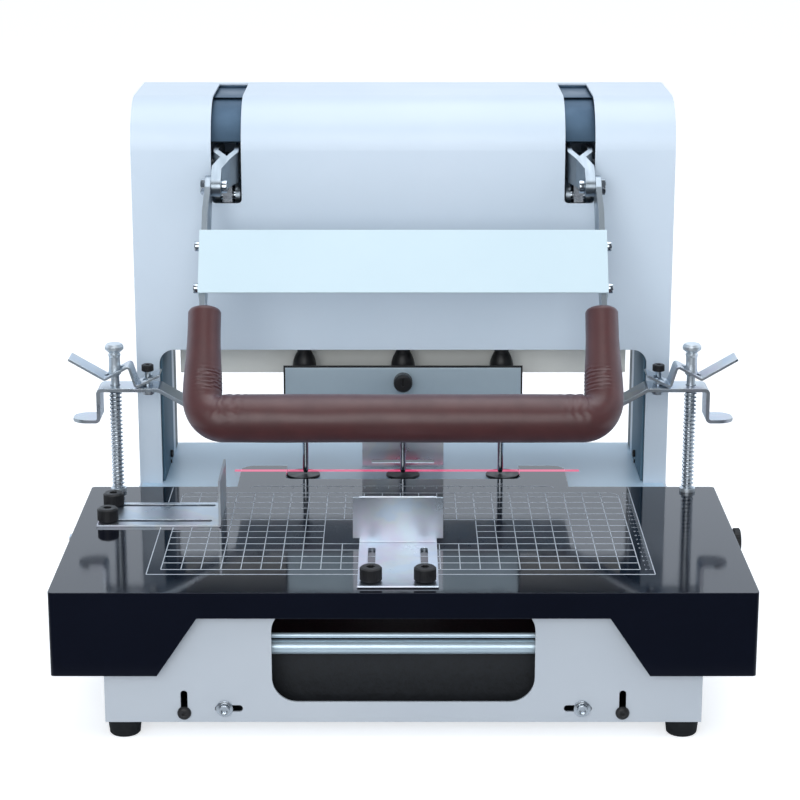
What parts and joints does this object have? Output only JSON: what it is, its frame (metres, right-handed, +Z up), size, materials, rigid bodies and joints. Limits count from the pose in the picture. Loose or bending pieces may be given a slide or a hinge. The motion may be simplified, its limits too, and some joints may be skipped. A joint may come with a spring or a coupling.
{
  "type": "tube rivet binding machine",
  "caption": "Bench machine that drills binding holes in a paper stack under a pull-down padded handle, with a sprung clamp, stops on a work table and a chip tray.",
  "frame": {"origin": "on the floor under the middle of the machine's bounding box, below the rubber feet", "axes": "+X to the operator's right along the row of drills, +Y from the operator to the back, +Z up"},
  "size_m": [0.5466, 0.403, 0.439],
  "materials": {
    "cover_paint": "pale bluish-white powder coat, semi-gloss",
    "frame_paint": "pale grey paint inside the head",
    "beam_paint": "cream paint",
    "table_black": "glossy black",
    "tray_charcoal": "charcoal, fine speckle",
    "shutter_blue": "blue-grey",
    "zinc": "bright zinc plating",
    "steel": "ground steel",
    "chrome": "polished",
    "black_plastic": "moulded, slightly glossy",
    "rubber_black": "matte",
    "grip_brown": "smooth brown leatherette over foam",
    "bronze": "bearing bronze",
    "motor_grey": "dark grey"
  },
  "bodies": {
    "machine": {"base_shell": "cover_paint", "front_panel": "cover_paint", "rubber_feet": "rubber_black", "case_screws": "zinc", "window_bars": "chrome", "table": "table_black", "cutting_pads": "black_plastic", "rear_stop": "zinc", "front_cover": "cover_paint", "back_cover": "cover_paint", "side_panel_left": "cover_paint", "side_panel_right": "cover_paint", "side_frame_left": "frame_paint", "side_frame_right": "frame_paint", "shaft_bearings": "bronze", "head_ties": "frame_paint", "guide_rods": "steel", "laser_module": "black_plastic", "clamp_rods": "chrome", "springs": "steel"},
    "handle": {"handle_shaft": "steel", "lever_left": "zinc", "lever_right": "zinc", "slot_shutters": "shutter_blue", "handle_arm_left": "zinc", "handle_arm_right": "zinc", "cross_plate": "cover_paint", "handle_pins_and_bolts": "zinc", "grip_core": "steel", "grip": "grip_brown"},
    "carriage": {"spindle_beam": "beam_paint", "lift_lugs": "beam_paint", "guide_bushes": "bronze", "motor": "motor_grey", "belts": "rubber_black"},
    "motor_rotor": {"motor_pulley": "motor_grey"},
    "spindle_left": {"spindle_left": "black_plastic", "drill_left": "steel"},
    "spindle_middle": {"spindle_middle": "black_plastic", "drill_middle": "steel"},
    "spindle_right": {"spindle_right": "black_plastic", "drill_right": "steel"},
    "presser": {"presser_foot": "steel", "strap_left": "zinc", "strap_right": "zinc", "strap_screws": "black_plastic", "guard_plate": "zinc", "guard_backing": "black_plastic"},
    "guard_knob": {"guard_knob": "black_plastic"},
    "lock_lever_left": {"lock_lever_left": "zinc"},
    "lock_lever_right": {"lock_lever_right": "zinc"},
    "front_stop": {"front_stop": "zinc"},
    "side_fence": {"side_fence": "zinc"},
    "thumb_screw_stop_left": {"thumb_screw_stop_left": "black_plastic"},
    "thumb_screw_stop_right": {"thumb_screw_stop_right": "black_plastic"},
    "thumb_screw_fence_front": {"thumb_screw_fence_front": "black_plastic"},
    "thumb_screw_fence_rear": {"thumb_screw_fence_rear": "black_plastic"},
    "table_knob": {"table_knob": "black_plastic"},
    "chip_tray": {"chip_tray": "tray_charcoal"}
  },
  "joints": [
    {"name": "handle_swing", "type": "hinge", "parent": "machine", "child": "handle", "pos_m": [0, 0.141, 0.38], "axis": [-1, 0, 0], "range_deg": [0, 55]},
    {"name": "carriage_lift", "type": "slide", "parent": "machine", "child": "carriage", "axis": [0, 0, 1], "range_m": [0, 0.0425]},
    {"name": "motor_spin", "type": "hinge", "parent": "carriage", "child": "motor_rotor", "pos_m": [0, 0.16, 0.3], "axis": [0, 0, 1], "continuous": true},
    {"name": "spindle_left_spin", "type": "hinge", "parent": "carriage", "child": "spindle_left", "pos_m": [-0.083, 0.1005, 0.25], "axis": [0, 0, 1], "continuous": true},
    {"name": "spindle_middle_spin", "type": "hinge", "parent": "carriage", "child": "spindle_middle", "pos_m": [0, 0.1005, 0.25], "axis": [0, 0, 1], "continuous": true},
    {"name": "spindle_right_spin", "type": "hinge", "parent": "carriage", "child": "spindle_right", "pos_m": [0.083, 0.1005, 0.25], "axis": [0, 0, 1], "continuous": true},
    {"name": "presser_slide", "type": "slide", "parent": "machine", "child": "presser", "axis": [0, 0, 1], "range_m": [-0.045, 0], "stiffness_N_per_m": 900, "springref_m": 0.03, "deforming": ["springs"]},
    {"name": "guard_knob_turn", "type": "hinge", "parent": "presser", "child": "guard_knob", "pos_m": [0, 0.065, 0.207], "axis": [0, 1, 0], "continuous": true},
    {"name": "lock_lever_left_rock", "type": "hinge", "parent": "presser", "child": "lock_lever_left", "pos_m": [-0.21739, 0.0475, 0.21345], "axis": [0, -1, 0], "range_deg": [0, 10]},
    {"name": "lock_lever_right_rock", "type": "hinge", "parent": "presser", "child": "lock_lever_right", "pos_m": [0.21739, 0.0475, 0.21345], "axis": [0, 1, 0], "range_deg": [0, 10]},
    {"name": "front_stop_slide", "type": "slide", "parent": "machine", "child": "front_stop", "axis": [0, 1, 0], "range_m": [-0.07, 0]},
    {"name": "side_fence_slide", "type": "slide", "parent": "machine", "child": "side_fence", "axis": [1, 0, 0], "range_m": [-0.075, 0]},
    {"name": "chip_tray_slide", "type": "slide", "parent": "machine", "child": "chip_tray", "axis": [0, 1, 0], "range_m": [0, 0.25]},
    {"name": "table_knob_turn", "type": "hinge", "parent": "machine", "child": "table_knob", "pos_m": [0.265, -0.0245, 0.099], "axis": [1, 0, 0], "continuous": true},
    {"name": "thumb_stop_left_turn", "type": "hinge", "parent": "machine", "child": "thumb_screw_stop_left", "pos_m": [-0.024, -0.18, 0.125], "axis": [0, 0, 1], "continuous": true},
    {"name": "thumb_stop_right_turn", "type": "hinge", "parent": "machine", "child": "thumb_screw_stop_right", "pos_m": [0.016, -0.18, 0.125], "axis": [0, 0, 1], "continuous": true},
    {"name": "thumb_fence_front_turn", "type": "hinge", "parent": "machine", "child": "thumb_screw_fence_front", "pos_m": [-0.235, -0.0385, 0.125], "axis": [0, 0, 1], "continuous": true},
    {"name": "thumb_fence_rear_turn", "type": "hinge", "parent": "machine", "child": "thumb_screw_fence_rear", "pos_m": [-0.235, 0.0015, 0.125], "axis": [0, 0, 1], "continuous": true}
  ],
  "couplings": [
    {"joint": "carriage_lift", "follows": "handle_swing", "m_per_rad": 0.04425},
    {"joint": "spindle_left_spin", "follows": "motor_spin", "ratio": 1},
    {"joint": "spindle_middle_spin", "follows": "motor_spin", "ratio": 1},
    {"joint": "spindle_right_spin", "follows": "motor_spin", "ratio": 1}
  ]
}
